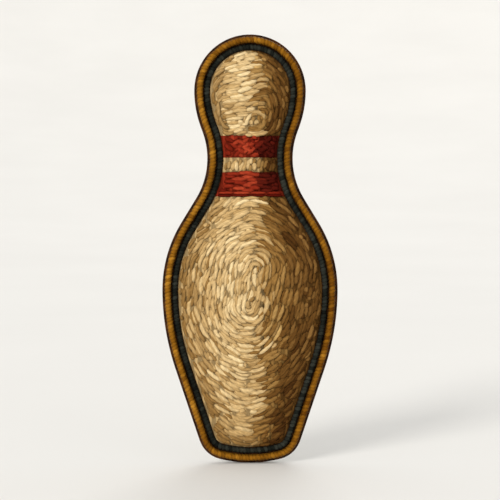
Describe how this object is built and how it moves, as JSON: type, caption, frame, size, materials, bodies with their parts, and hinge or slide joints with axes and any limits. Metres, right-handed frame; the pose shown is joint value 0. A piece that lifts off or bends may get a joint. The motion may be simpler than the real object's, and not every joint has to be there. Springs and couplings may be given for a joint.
{
  "type": "embroidered patch",
  "caption": "Raised embroidered patch shaped as a bowling pin, with a corded satin border, red neck stripes and a heat-seal back for the front of a cap.",
  "frame": {"origin": "centre of the patch's back face, on the adhesive film where it meets the cap", "axes": "+Z from the pin's base to its head; the stitched face looks along -Y, so +Y points out of the back; +X to the right as the face is seen"},
  "size_m": [0.0254, 0.0031, 0.062],
  "materials": {
    "film": "satin",
    "bobbin_thread": "satin",
    "stabiliser": "matte",
    "ground_twill": "matte",
    "border_cord": "matte",
    "ochre_thread": "satin",
    "black_thread": "satin",
    "foam": "matte",
    "cream_thread": "satin",
    "tan_thread": "satin",
    "brown_thread": "satin",
    "red_thread": "satin",
    "maroon_thread": "satin"
  },
  "bodies": {
    "root": {"adhesive_film": "film", "bobbin_border_thread": "bobbin_thread", "bobbin_fill_thread": "bobbin_thread", "stabiliser": "stabiliser", "ground_twill": "ground_twill", "border_cord": "border_cord", "border_satin_thread": "ochre_thread", "outline_satin_thread": "black_thread", "puff_foam": "foam", "head_brown_thread": "brown_thread", "head_tan_thread": "tan_thread", "head_cream_thread": "cream_thread", "upper_stripe_maroon_thread": "maroon_thread", "upper_stripe_red_thread": "red_thread", "neck_band_brown_thread": "brown_thread", "neck_band_cream_thread": "cream_thread", "lower_stripe_maroon_thread": "maroon_thread", "lower_stripe_red_thread": "red_thread", "lower_stripe_line_thread": "red_thread", "belly_brown_thread": "brown_thread", "belly_tan_thread": "tan_thread", "belly_cream_thread": "cream_thread"}
  },
  "joints": []
}
